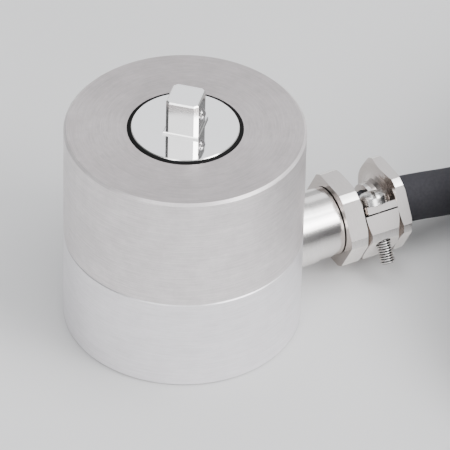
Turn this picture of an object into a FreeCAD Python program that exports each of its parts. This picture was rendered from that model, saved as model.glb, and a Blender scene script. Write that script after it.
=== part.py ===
import FreeCAD, Part
import math
import os
import Sketcher

# Square drive torque sensor of the static kind: a round base is bolted down, a
# square drive at the top takes the torque, and a strain gauged shaft between
# them twists by a few hundredths of a degree. The cable leaves the base through
# a metal gland whose nut is a split clamp with one screw.
#
# Frame: origin on the body axis at the mounting face, +Z along the drive, the
# gland along +X. Units are millimetres and degrees.

V = FreeCAD.Vector
Z_AXIS = V(0, 0, 1)
doc = FreeCAD.newDocument("torque_sensor")
sheet = doc.addObject("Spreadsheet::Sheet", "sizes")

# Driving dimensions: name, value, meaning
DRIVING = (
    ("body_diameter", 46.0, "outer diameter of base and cover"),
    ("base_height", 20.0, "mounting face to seam"),
    ("cover_height", 24.5, "seam to top face"),
    ("rim_chamfer", 0.5, "chamfer round the top face"),
    ("seam_chamfer", 0.2, "chamfers each side of the seam"),
    ("foot_chamfer", 0.4, "chamfer round the mounting face"),
    ("base_wall", 6.5, "wall of the base round its cavity"),
    ("floor_height", 7.0, "mounting face to inside floor"),
    ("pilot_diameter", 16.0, "centring recess in the mounting face"),
    ("pilot_depth", 2.5, "depth of the centring recess"),
    ("mount_inset", 4.0, "mounting threads from the outer wall"),
    ("mount_thread", 3.3, "core diameter of the M4 mounting threads"),
    ("mount_depth", 8.0, "depth of the mounting threads"),
    ("mount_count", 4, "number of mounting threads"),
    ("cover_wall", 2.45, "wall of the cover"),
    ("spigot_height", 4.5, "height of the spigot above the seam"),
    ("cover_fit", 0.05, "radial clearance of cover and spigot"),
    ("cover_ring_section", 1.3, "section of the cover's sealing ring"),
    ("cover_ring_width", 1.8, "width of that ring's groove"),
    ("roof_thickness", 3.0, "thickness of the cover's roof"),
    ("opening_diameter", 22.1, "opening in the roof"),
    ("seal_width", 0.7, "radial width of the sealing ring at the hub"),
    ("seal_recess", 0.25, "seal below the top face"),
    ("seal_lip", 0.8, "height of the lip under the seal"),
    ("lip_width", 0.35, "radial width of that lip"),
    ("disc_rise", 0.4, "hub disc above the top face"),
    ("disc_chamfer", 0.2, "chamfer of the hub disc"),
    ("hub_diameter", 13.0, "shaft below the hub disc"),
    ("hub_length", 6.0, "length of that hub"),
    ("torsion_side", 9.0, "across the flats of the torsion section"),
    ("torsion_round", 11.4, "diameter that rounds its corners"),
    ("root_diameter", 12.6, "shaft above the lower flange"),
    ("root_length", 2.5, "length of that root"),
    ("flange_diameter", 24.8, "lower flange of the shaft"),
    ("flange_thickness", 4.0, "thickness of the lower flange"),
    ("centre_diameter", 10.0, "spigot of the shaft in the base"),
    ("centre_length", 3.6, "length of that spigot"),
    ("centre_fit", 0.02, "radial clearance of fitted spigots and threads"),
    ("shaft_screw", 3.0, "thread of the shaft's screws"),
    ("shaft_screw_circle", 19.2, "pitch circle of these screws"),
    ("shaft_screw_count", 6, "number of these screws"),
    ("shaft_screw_length", 8.0, "length under the head"),
    ("shaft_screw_head", 5.5, "diameter of their heads"),
    ("shaft_screw_key", 2.5, "hexagon key of these screws"),
    ("thread_runout", 0.4, "tapped holes beyond the screws"),
    ("screw_clearance", 0.2, "radial clearance of screw holes"),
    ("pin_diameter", 2.5, "locating pins of the shaft flange"),
    ("pin_length", 7.5, "length of these pins"),
    ("drive_side", 6.35, "square drive, one quarter inch"),
    ("drive_reach", 7.4, "hub disc to drive tip"),
    ("drive_chamfer", 0.72, "chamfer along the drive's corners"),
    ("tip_chamfer", 0.25, "chamfer round the drive's tip"),
    ("collar_ledge", 0.32, "collar beyond the drive's faces"),
    ("collar_height", 0.35, "height of that collar"),
    ("drive_turn", -43.0, "turn of the drive from the gland"),
    ("ball_diameter", 2.4, "detent ball"),
    ("ball_clearance", 0.05, "radial clearance of the ball"),
    ("ball_drop", 3.7, "drive tip to ball centre"),
    ("ball_stand", 0.75, "ball beyond the drive's face"),
    ("ball_travel", 0.65, "inward travel of the ball"),
    ("ball_lip", 0.05, "thickness of the staked lip"),
    ("ball_bore_depth", 4.4, "depth of the ball's bore"),
    ("spring_wire", 0.22, "wire of the detent spring"),
    ("spring_diameter", 1.7, "mean diameter of that spring"),
    ("spring_turns", 5, "turns of that spring"),
    ("gauge_width", 4.6, "strain gauge patch, across"),
    ("gauge_height", 7.5, "strain gauge patch, along the shaft"),
    ("gauge_thickness", 0.12, "thickness of the patch"),
    ("board_thickness", 1.6, "circuit board"),
    ("board_gap", 0.4, "board to the wall of the cavity"),
    ("board_bore", 15.4, "opening of the board"),
    ("board_level", 17.0, "mounting face to underside of the board"),
    ("post_inset", 1.7, "board's posts from the wall of the cavity"),
    ("post_diameter", 4.2, "diameter of the posts"),
    ("post_count", 3, "number of posts"),
    ("board_screw", 1.6, "thread of the board's screws"),
    ("board_screw_length", 5.0, "length under the head"),
    ("board_screw_head", 3.2, "diameter of their heads"),
    ("board_screw_height", 1.2, "height of their heads"),
    ("board_screw_slot", 0.4, "slot in their heads"),
    ("resistor_length", 2.0, "trim resistors on the board"),
    ("resistor_width", 1.25, "width of a trim resistor"),
    ("resistor_height", 0.6, "height of a trim resistor"),
    ("resistor_count", 5, "number of trim resistors"),
    ("resistor_turn", 18.0, "first of them from the gland"),
    ("wire_diameter", 0.5, "leads of the strain gauges"),
    ("wire_spacing", 1.8, "distance of the two leads of a gauge"),
    ("gland_height", 10.2, "mounting face to gland axis"),
    ("gland_turn", 58.1, "turn of the gland's hexagons"),
    ("seat_cut", 1.4, "depth of the gland's seat in the outer wall"),
    ("seat_diameter", 14.8, "spot face for the gland's neck"),
    ("socket_diameter", 10.0, "neck's spigot in the base"),
    ("socket_depth", 3.5, "length of that spigot"),
    ("wire_bore", 5.6, "bore from the gland to the cavity"),
    ("neck_collar", 14.4, "collar of the neck"),
    ("neck_collar_length", 4.8, "length of that collar"),
    ("neck_diameter", 13.8, "diameter of the neck"),
    ("neck_length", 10.3, "seat to the end of the neck"),
    ("neck_thread", 12.0, "thread in the neck"),
    ("neck_thread_depth", 6.4, "depth of that thread"),
    ("neck_bore", 6.0, "bore for the cores"),
    ("neck_chamber", 10.0, "chamber between bore and thread"),
    ("neck_chamber_length", 0.85, "length of that chamber"),
    ("neck_ring_section", 0.8, "sealing ring on the neck's spigot"),
    ("neck_ring_width", 1.1, "width of that ring's groove"),
    ("thread_clearance", 0.05, "radial clearance of modelled threads"),
    ("gasket_thickness", 0.2, "gasket between neck and gland"),
    ("gasket_diameter", 13.0, "outer diameter of the gasket"),
    ("gland_flats", 17.0, "across the gland's flats"),
    ("gland_hex_length", 3.9, "length of the gland's hexagon"),
    ("gland_shank", 5.2, "thread of the gland in the neck"),
    ("jacket_diameter", 9.3, "cable"),
    ("pinched_diameter", 7.2, "inner sheath of the cable in seal and clamp"),
    ("chamber_diameter", 12.4, "seal chamber of the gland"),
    ("chamber_depth", 3.3, "depth of that chamber"),
    ("seal_length", 1.8, "cable seal"),
    ("thrust_thickness", 0.5, "ring between nut and seal"),
    ("bore_clearance", 0.15, "radial clearance round the cable"),
    ("mouth_clearance", 0.45, "the same at the nut's mouth"),
    ("mouth_depth", 3.5, "depth of the nut's mouth"),
    ("nut_gap", 0.25, "gland's hexagon to the clamp nut"),
    ("nut_flats", 17.0, "across the nut's flats"),
    ("nut_block_length", 7.05, "clamping part of the nut"),
    ("nut_flange_length", 2.35, "closed ring at the nut's end"),
    ("bar_diameter", 18.7, "turned bar that the hexagons are milled on"),
    ("nut_chamfer", 30.0, "angle of the turned chamfers"),
    ("jaw_flank", 42.0, "angle of the parting groove towards the jaw"),
    ("flange_flank", 25.0, "angle of the parting groove towards the flange"),
    ("chamfer_inset", 0.35, "turned chamfers start beyond the flats"),
    ("outer_inset", 0.5, "the same at the nut's outer end"),
    ("saw_width", 0.65, "cross cut that frees the jaw"),
    ("slot_width", 0.33, "slot between the jaws"),
    ("slot_offset", 0.08, "slot from the gland axis"),
    ("jaw_thickness", 1.36, "jaw between slot and screw head"),
    ("sleeve_wall", 1.2, "sleeve left round the cable"),
    ("sleeve_length", 3.0, "length of that sleeve"),
    ("sleeve_round", 2.2, "fillet from sleeve to flange"),
    ("clamp_thread", 3.0, "clamp screw"),
    ("clamp_reach", 12.0, "length under the head"),
    ("clamp_offset", 6.1, "clamp screw from the gland axis"),
    ("clamp_station", 3.35, "clamp screw from the nut's face"),
    ("clamp_head", 5.5, "diameter of the clamp screw's head"),
    ("clamp_head_height", 2.4, "height of that head"),
    ("clamp_head_round", 1.1, "round of that head"),
    ("clamp_pitch", 0.5, "thread pitch of the clamp screw"),
    ("clamp_grooves", 11, "threads seen beyond the nut"),
    ("clamp_slot", 0.65, "slot in that head"),
    ("clamp_slot_depth", 1.0, "depth of that slot"),
    ("clamp_slot_turn", 75.0, "turn of that slot"),
    ("head_clearance", 0.2, "radial clearance round the head"),
    ("core_diameter", 1.3, "insulated core of the cable"),
    ("core_pitch", 1.5, "distance of neighbouring cores"),
    ("coil_distance", 110.0, "body axis to the coil's centre, along the gland"),
    ("coil_radius", 56.4, "mean radius of the put away coil"),
    ("coil_pitch", 9.4, "distance of neighbouring turns"),
    ("coil_layers", 3, "turns on each other"),
    ("tail_length", 50.0, "cable beyond the coil's centre"),
    ("boot_length", 20.0, "shrink sleeve at the cable's end"),
    ("boot_wall", 0.6, "wall of the shrink sleeve"),
    ("boot_neck", 4.8, "the sleeve where it holds the cores"),
    ("lead_length", 36.0, "free cores at the cable's end"),
    ("lead_spread", 2.8, "spacing of the free cores"),
    ("ferrule_length", 6.0, "crimped ferrules"),
    ("ferrule_wall", 0.2, "ferrule beyond the core"),
    ("tie_width", 3.6, "cable tie, width"),
    ("tie_thickness", 0.9, "cable tie, thickness"),
    ("tie_count", 3, "number of cable ties"),
)

for row, (name, value, meaning) in enumerate(DRIVING, start=1):
    sheet.set("A%d" % row, meaning)
    sheet.set("B%d" % row, repr(value))
    sheet.setAlias("B%d" % row, name)
doc.recompute()


class Size:
    """A length with the spreadsheet expression that it comes from."""

    def __init__(self, value, text):
        self.value = value
        self.text = text

    def join(self, other, sign, value, swap=False):
        text = other.text if isinstance(other, Size) else repr(other)
        first, last = (text, self.text) if swap else (self.text, text)
        return Size(value, "(%s %s %s)" % (first, sign, last))

    def __add__(self, other):
        return self.join(other, "+", self.value + plain(other))

    def __sub__(self, other):
        return self.join(other, "-", self.value - plain(other))

    def __rsub__(self, other):
        return self.join(other, "-", plain(other) - self.value, swap=True)

    def __mul__(self, other):
        return self.join(other, "*", self.value * plain(other))

    def __truediv__(self, other):
        return self.join(other, "/", self.value / plain(other))

    def __neg__(self):
        return Size(-self.value, "(0 - %s)" % self.text)

    __radd__ = __add__
    __rmul__ = __mul__


def plain(size):
    return size.value if isinstance(size, Size) else size


class Sizes:
    """Every driving dimension as an attribute, read back from the sheet."""


d = Sizes()
for name, _, _ in DRIVING:
    setattr(d, name, Size(float(sheet.get(name)), "sizes." + name))

# Derived sizes
ROOT_3 = math.sqrt(3)
body_radius = d.body_diameter / 2
body_height = d.base_height + d.cover_height
cavity_radius = body_radius - d.base_wall
cover_inside = body_radius - d.cover_wall
spigot_radius = cover_inside - d.cover_fit
mount_radius = body_radius - d.mount_inset
board_radius = cavity_radius - d.board_gap
post_radius = cavity_radius - d.post_inset
seat_distance = body_radius - d.seat_cut
opening_radius = d.opening_diameter / 2
disc_radius = opening_radius - d.seal_width
disc_top = body_height + d.disc_rise
roof_under = body_height - d.roof_thickness
flange_top = d.floor_height + d.flange_thickness
root_top = flange_top + d.root_length
hub_bottom = roof_under - d.hub_length
tip_level = disc_top + d.drive_reach
ball_level = tip_level - d.ball_drop
ball_centre = d.drive_side / 2 + d.ball_stand - d.ball_diameter / 2
ball_bore_radius = d.ball_diameter / 2 + d.ball_clearance
ball_bore_end = d.drive_side / 2 - d.ball_bore_depth
jacket_radius = d.jacket_diameter / 2
pinched_radius = d.pinched_diameter / 2
neck_end = seat_distance + d.neck_length
hex_start = neck_end + d.gasket_thickness
hex_end = hex_start + d.gland_hex_length
nut_start = hex_end + d.nut_gap
groove_station = nut_start + d.nut_block_length
nut_end = groove_station + d.nut_flange_length
seal_start = hex_end - d.chamber_depth
thrust_start = seal_start + d.seal_length
shank_start = thrust_start + d.thrust_thickness
jacket_start = hex_start - d.gland_shank - d.gasket_thickness
ledge_level = d.slot_offset + d.slot_width / 2 + d.jaw_thickness
clamp_along = nut_start + d.clamp_station
mouth_start = nut_end - d.mouth_depth
shaft_hole_depth = d.shaft_screw_length - d.flange_thickness + d.thread_runout
board_hole_depth = d.board_screw_length - d.board_thickness + d.thread_runout
board_top = d.board_level + d.board_thickness
flats_low = root_top + 1
flats_high = hub_bottom - 1
gland_frame = FreeCAD.Placement(
    V(0, 0, d.gland_height.value),
    FreeCAD.Rotation(V(1, 0, 0), d.gland_turn.value) * FreeCAD.Rotation(V(1, 1, 1), 120),
)


def bind(thing, prop, size):
    """Tie a property to the spreadsheet, or set a bare number."""
    if isinstance(size, Size):
        thing.setExpression(prop, size.text)
    else:
        setattr(thing, prop, size)


def new_body(label):
    body = doc.addObject("PartDesign::Body", label)
    body.Label = label
    return body


def sketch_in(body, plane, name, distance=None, turned_by=None):
    """A sketch on one of the body's own planes, moved out and turned round Z."""
    sketch = body.newObject("Sketcher::SketchObject", name)
    base = [f for f in body.Origin.OriginFeatures if f.Role == plane][0]
    sketch.AttachmentSupport = [(base, "")]
    sketch.MapMode = "FlatFace"
    spin = FreeCAD.Rotation()
    upright = plane == "YZ_Plane"
    if turned_by is not None:
        spin = FreeCAD.Rotation(V(0, 1, 0) if upright else Z_AXIS, turned_by.value)
    out = spin.multVec(V(0, 0, distance.value if distance is not None else 0))
    sketch.AttachmentOffset = FreeCAD.Placement(out, spin)
    if distance is not None and upright and turned_by is not None:
        swing = (distance.text, turned_by.text)
        sketch.setExpression("AttachmentOffset.Base.x", "%s * sin(%s)" % swing)
        sketch.setExpression("AttachmentOffset.Base.z", "%s * cos(%s)" % swing)
    elif distance is not None:
        sketch.setExpression("AttachmentOffset.Base.z", distance.text)
    return sketch


def place_point(sketch, edge, vertex, x, y):
    """Hold one end or centre of an edge at x, y from the sketch's origin."""
    for kind, axis, size in (("DistanceX", -2, x), ("DistanceY", -1, y)):
        if plain(size) == 0:
            sketch.addConstraint(Sketcher.Constraint("PointOnObject", edge, vertex, axis))
            continue
        held = Sketcher.Constraint(kind, -1, 1, edge, vertex, plain(size))
        index = sketch.addConstraint(held)
        if isinstance(size, Size):
            sketch.setExpression("Constraints[%d]" % index, size.text)


def outline(sketch, corners):
    """A closed outline of straight edges through the corners."""
    points = [V(plain(x), plain(y), 0) for x, y in corners]
    count = len(points)
    first = sketch.GeometryCount
    for i in range(count):
        sketch.addGeometry(Part.LineSegment(points[i], points[(i + 1) % count]))
    for i in range(count):
        follow = first + (i + 1) % count
        sketch.addConstraint(Sketcher.Constraint("Coincident", first + i, 2, follow, 1))
        place_point(sketch, first + i, 1, *corners[i])
    return sketch


def circle(sketch, x, y, radius):
    edge = sketch.addGeometry(Part.Circle(V(plain(x), plain(y), 0), Z_AXIS, plain(radius)))
    index = sketch.addConstraint(Sketcher.Constraint("Radius", edge, plain(radius)))
    if isinstance(radius, Size):
        sketch.setExpression("Constraints[%d]" % index, radius.text)
    place_point(sketch, edge, 3, x, y)
    return sketch


def rectangle(sketch, x_low, x_high, y_low, y_high):
    corners = [(x_low, y_low), (x_high, y_low), (x_high, y_high), (x_low, y_high)]
    return outline(sketch, corners)


def turned(body, kind, name, corners):
    """A revolved or grooved profile of radius and height round the local Z axis."""
    sketch = outline(sketch_in(body, "XZ_Plane", name + "_profile"), corners)
    feature = body.newObject("PartDesign::" + kind, name)
    feature.Profile = sketch
    feature.ReferenceAxis = (sketch, ["V_Axis"])
    feature.Angle = 360
    return feature


def pad(body, name, sketch, length, reversed_side=False):
    feature = body.newObject("PartDesign::Pad", name)
    feature.Profile = sketch
    bind(feature, "Length", length)
    feature.Reversed = reversed_side
    return feature


def pocket(body, name, sketch, length, reversed_side=False, both_sides=False):
    feature = body.newObject("PartDesign::Pocket", name)
    feature.Profile = sketch
    bind(feature, "Length", length)
    feature.Reversed = reversed_side
    if both_sides:
        feature.SideType = "Symmetric"
    return feature


def round_pattern(body, feature, name, count):
    """The feature repeated evenly round the body's local Z axis."""
    pattern = body.newObject("PartDesign::PolarPattern", name)
    pattern.Originals = [feature]
    pattern.Axis = (feature.Profile[0], ["N_Axis"])
    pattern.Angle = 360
    bind(pattern, "Occurrences", count)
    body.Tip = pattern
    return pattern


def shown(label, shape, placement=None):
    """A piece whose shape is made directly from the sheet's sizes."""
    piece = doc.addObject("Part::Feature", label)
    piece.Label = label
    piece.Shape = shape
    if placement is not None:
        piece.Placement = placement
    return piece


def polar(radius, angle, height=0.0):
    a = math.radians(angle)
    return V(radius * math.cos(a), radius * math.sin(a), height)


def cylinder(radius, length, base=V(0, 0, 0), axis=Z_AXIS):
    return Part.makeCylinder(plain(radius), plain(length), base, axis)


def lathe(corners, centre=V(0, 0, 0), axis=Z_AXIS):
    """A turned solid from radius and height points, stood on centre along axis."""
    points = [V(plain(r), 0, plain(h)) for r, h in corners]
    face = Part.Face(Part.makePolygon(points + points[:1]))
    solid = face.revolve(V(0, 0, 0), Z_AXIS, 360)
    solid.Placement = FreeCAD.Placement(centre, FreeCAD.Rotation(Z_AXIS, axis))
    return solid


def bent_path(points, radii=None):
    """Straight runs joined by tangent arcs, and the radius of each arc."""
    edges = []
    used = []
    start = points[0]
    for i in range(1, len(points) - 1):
        before, corner, after = points[i - 1], points[i], points[i + 1]
        inward = corner - before
        outward = after - corner
        half_turn = inward.getAngle(outward) / 2
        reach = 0.45 * min(inward.Length, outward.Length)
        if radii is not None:
            reach = radii * math.tan(half_turn)
        inward.normalize()
        outward.normalize()
        enter = corner - inward * reach
        leave = corner + outward * reach
        radius = reach / math.tan(half_turn)
        bisector = (outward - inward).normalize()
        centre = corner + bisector * (radius / math.cos(half_turn))
        middle = centre - bisector * radius
        edges.append(Part.LineSegment(start, enter).toShape())
        edges.append(Part.Arc(enter, middle, leave).toShape())
        used.append(radius)
        start = leave
    edges.append(Part.LineSegment(start, points[-1]).toShape())
    return Part.Wire(edges), used


def bent_tube(points, radius, radii=None):
    """A round bar along the bent path, and the radii of its bends."""
    path, used = bent_path(points, radii)
    direction = points[1] - points[0]
    section = Part.Wire([Part.Circle(points[0], direction, radius).toShape()])
    solid = path.makePipeShell([section], True, False)
    expected = math.pi * radius ** 2 * path.Length
    if abs(solid.Volume / expected - 1) > 0.01:
        raise ValueError("the swept bar has a wrong volume")
    return solid, used


def make_base_flange():
    """Turned base with the mounting threads, the spigot and the gland's seat."""
    body = new_body("base_flange")
    bore = d.centre_diameter / 2 + d.centre_fit
    pilot = d.pilot_diameter / 2
    spigot_top = d.base_height + d.spigot_height
    ring_floor = spigot_radius - d.cover_ring_section
    ring_low = d.base_height + (d.spigot_height - d.cover_ring_width) / 2
    turned(body, "Revolution", "turned_blank", [
        (bore, d.pilot_depth),
        (pilot, d.pilot_depth),
        (pilot, 0),
        (body_radius - d.foot_chamfer, 0),
        (body_radius, d.foot_chamfer),
        (body_radius, d.base_height - d.seam_chamfer),
        (body_radius - d.seam_chamfer, d.base_height),
        (spigot_radius, d.base_height),
        (spigot_radius, ring_low),
        (ring_floor, ring_low),
        (ring_floor, ring_low + d.cover_ring_width),
        (spigot_radius, ring_low + d.cover_ring_width),
        (spigot_radius, spigot_top),
        (cavity_radius, spigot_top),
        (cavity_radius, d.floor_height),
        (bore, d.floor_height),
    ])
    posts = sketch_in(body, "XY_Plane", "post_place", d.floor_height)
    circle(posts, -post_radius, 0, d.post_diameter / 2)
    post = pad(body, "post", posts, d.board_level - d.floor_height)
    round_pattern(body, post, "posts", d.post_count)
    tapped = sketch_in(body, "XY_Plane", "post_thread_place", d.board_level)
    circle(tapped, -post_radius, 0, d.board_screw / 2)
    thread = pocket(body, "post_thread", tapped, board_hole_depth)
    round_pattern(body, thread, "post_threads", d.post_count)
    drilled = sketch_in(body, "XY_Plane", "mount_place")
    diagonal = mount_radius * math.sqrt(0.5)
    circle(drilled, diagonal, diagonal, d.mount_thread / 2)
    hole = pocket(body, "mount_thread", drilled, d.mount_depth, reversed_side=True)
    round_pattern(body, hole, "mount_threads", d.mount_count)
    fixed = sketch_in(body, "XY_Plane", "shaft_screw_place", d.floor_height)
    circle(fixed, 0, d.shaft_screw_circle / 2, d.shaft_screw / 2 + d.centre_fit)
    held = pocket(body, "shaft_thread", fixed, shaft_hole_depth)
    round_pattern(body, held, "shaft_threads", d.shaft_screw_count)
    pinned = sketch_in(body, "XY_Plane", "pin_place", d.floor_height)
    circle(pinned, d.shaft_screw_circle / 2, 0, d.pin_diameter / 2)
    seat = pocket(body, "pin_hole", pinned, d.pin_length - d.flange_thickness)
    round_pattern(body, seat, "pin_holes", 2)
    outside = d.seat_diameter
    spot = circle(sketch_in(body, "YZ_Plane", "seat_face", seat_distance), 0,
                  d.gland_height, outside / 2)
    pocket(body, "gland_seat", spot, outside, reversed_side=True)
    socket = circle(sketch_in(body, "YZ_Plane", "socket_face", seat_distance), 0,
                    d.gland_height, d.socket_diameter / 2)
    pocket(body, "gland_socket", socket, d.socket_depth)
    wires = circle(sketch_in(body, "YZ_Plane", "wire_face", seat_distance), 0,
                   d.gland_height, d.wire_bore / 2)
    pocket(body, "wire_passage", wires, seat_distance - cavity_radius + d.socket_depth / 2)
    return body


def make_housing_cover():
    """Turned cup that closes the sensor, with the lip that carries the hub seal."""
    body = new_body("housing_cover")
    inner = cover_inside
    lip = opening_radius - d.lip_width
    lip_top = roof_under + d.seal_lip
    turned(body, "Revolution", "turned_cup", [
        (inner, d.base_height),
        (body_radius - d.seam_chamfer, d.base_height),
        (body_radius, d.base_height + d.seam_chamfer),
        (body_radius, body_height - d.rim_chamfer),
        (body_radius - d.rim_chamfer, body_height),
        (opening_radius, body_height),
        (opening_radius, lip_top),
        (lip, lip_top),
        (lip, roof_under),
        (inner, roof_under),
    ])
    return body


def make_torsion_shaft():
    """One piece: lower flange, square torsion section, hub disc and square drive."""
    body = new_body("torsion_shaft")
    centre = d.centre_diameter / 2
    round_corner = d.torsion_round / 2
    turned(body, "Revolution", "turned_blank", [
        (0, d.floor_height - d.centre_length),
        (centre, d.floor_height - d.centre_length),
        (centre, d.floor_height),
        (d.flange_diameter / 2, d.floor_height),
        (d.flange_diameter / 2, flange_top),
        (d.root_diameter / 2, flange_top),
        (d.root_diameter / 2, root_top),
        (round_corner, root_top + (d.root_diameter / 2 - round_corner)),
        (round_corner, hub_bottom - (d.hub_diameter / 2 - round_corner)),
        (d.hub_diameter / 2, hub_bottom),
        (d.hub_diameter / 2, roof_under),
        (disc_radius, roof_under),
        (disc_radius, disc_top - d.disc_chamfer),
        (disc_radius - d.disc_chamfer, disc_top),
        (0, disc_top),
    ])
    flats = sketch_in(body, "XY_Plane", "flat_place", flats_low, d.drive_turn)
    reach = d.torsion_side / 2
    rectangle(flats, reach, d.hub_diameter, -d.hub_diameter, d.hub_diameter)
    flat = pocket(body, "torsion_flat", flats, flats_high - flats_low, reversed_side=True)
    round_pattern(body, flat, "torsion_flats", 4)
    collar = d.drive_side / 2 + d.collar_ledge
    foot = sketch_in(body, "XY_Plane", "collar_place", disc_top, d.drive_turn)
    rectangle(foot, -collar, collar, -collar, collar)
    pad(body, "drive_collar", foot, d.collar_height)
    half = d.drive_side / 2
    cut = half - d.drive_chamfer
    square = sketch_in(body, "XY_Plane", "drive_place", disc_top, d.drive_turn)
    outline(square, [(cut, -half), (half, -cut), (half, cut), (cut, half),
                     (-cut, half), (-half, cut), (-half, -cut), (-cut, -half)])
    pad(body, "square_drive", square, d.drive_reach)
    doc.recompute()
    blunt = body.Tip
    rim = ["Edge%d" % (k + 1) for k, edge in enumerate(blunt.Shape.Edges)
           if all(abs(v.Z - tip_level.value) < 1e-6 for v in edge.Vertexes)]
    bevel = body.newObject("PartDesign::Chamfer", "drive_tip")
    bevel.Base = (blunt, rim)
    bind(bevel, "Size", d.tip_chamfer)
    lip_radius = ball_bore_radius - d.ball_clearance - d.ball_lip
    lip_start = d.drive_side / 2 - d.ball_lip
    bore = sketch_in(body, "YZ_Plane", "ball_bore_place", lip_start, d.drive_turn)
    circle(bore, 0, ball_level, ball_bore_radius)
    pocket(body, "ball_bore", bore, d.ball_bore_depth - d.ball_lip)
    mouth = sketch_in(body, "YZ_Plane", "ball_mouth_place", lip_start, d.drive_turn)
    circle(mouth, 0, ball_level, lip_radius)
    pocket(body, "ball_mouth", mouth, d.ball_diameter, reversed_side=True)
    holes = sketch_in(body, "XY_Plane", "flange_hole_place", flange_top)
    circle(holes, 0, d.shaft_screw_circle / 2, d.shaft_screw / 2 + d.screw_clearance)
    hole = pocket(body, "flange_hole", holes, d.flange_thickness)
    round_pattern(body, hole, "flange_holes", d.shaft_screw_count)
    pins = sketch_in(body, "XY_Plane", "flange_pin_place", flange_top)
    circle(pins, d.shaft_screw_circle / 2, 0, d.pin_diameter / 2)
    pin = pocket(body, "flange_pin_hole", pins, d.flange_thickness)
    round_pattern(body, pin, "flange_pin_holes", 2)
    return body


def turned_piece(label, corners, gland=False):
    """A plain turned piece on the body axis, or on the gland's axis."""
    body = new_body(label)
    turned(body, "Revolution", label + "_turning", corners)
    if gland:
        body.Placement = gland_frame
    return body


def ring_piece(label, inner, outer, low, high, gland=False):
    corners = [(inner, low), (outer, low), (outer, high), (inner, high)]
    return turned_piece(label, corners, gland)


def hexagon(sketch, flats):
    """A hexagon with one pair of corners on the sketch's x axis."""
    corner = flats / ROOT_3
    half = flats / 2
    return outline(sketch, [(corner, 0), (corner / 2, half), (-corner / 2, half),
                            (-corner, 0), (-corner / 2, -half), (corner / 2, -half)])


def corner_groove(body, name, radius, station, before=None, after=None):
    """Turn the hexagon's corners off from radius at station, with flanks at angles."""
    reach = 2
    rises = [reach * math.tan(math.radians(angle.value)) if angle is not None else 0
             for angle in (before, after)]
    corners = [(radius, station), (radius + reach, station - rises[0])]
    corners.append((radius + reach, station + rises[1]))
    return turned(body, "Groove", name, corners)


def blunt_corners(body, start, end):
    """The round bar under the hexagon, left where it is smaller than its corners."""
    bar = d.bar_diameter / 2
    turned(body, "Groove", "bar_round", [(bar, start - 1), (bar + 2, start - 1),
                                         (bar + 2, end + 1), (bar, end + 1)])


def make_gland_body():
    """Hexagon of the gland with its thread and the seal chamber."""
    body = new_body("gland_body")
    prism = hexagon(sketch_in(body, "XY_Plane", "hexagon", hex_start), d.gland_flats)
    pad(body, "hexagon_block", prism, d.gland_hex_length)
    blunt_corners(body, hex_start, hex_end)
    corner_groove(body, "front_chamfer", d.gland_flats / 2 + d.chamfer_inset, hex_end,
                  before=d.nut_chamfer)
    shank = d.neck_thread / 2 - d.thread_clearance
    thread = circle(sketch_in(body, "XY_Plane", "shank_place", hex_start - d.gland_shank),
                    0, 0, shank)
    pad(body, "threaded_shank", thread, d.gland_shank)
    bore = pinched_radius + d.bore_clearance
    chamber = d.chamber_diameter / 2
    turned(body, "Groove", "bore_and_chamber", [
        (0, hex_start - d.gland_shank - 1),
        (bore, hex_start - d.gland_shank - 1),
        (bore, seal_start),
        (chamber, seal_start),
        (chamber, hex_end + 1),
        (0, hex_end + 1),
    ])
    body.Placement = gland_frame
    return body


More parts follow.
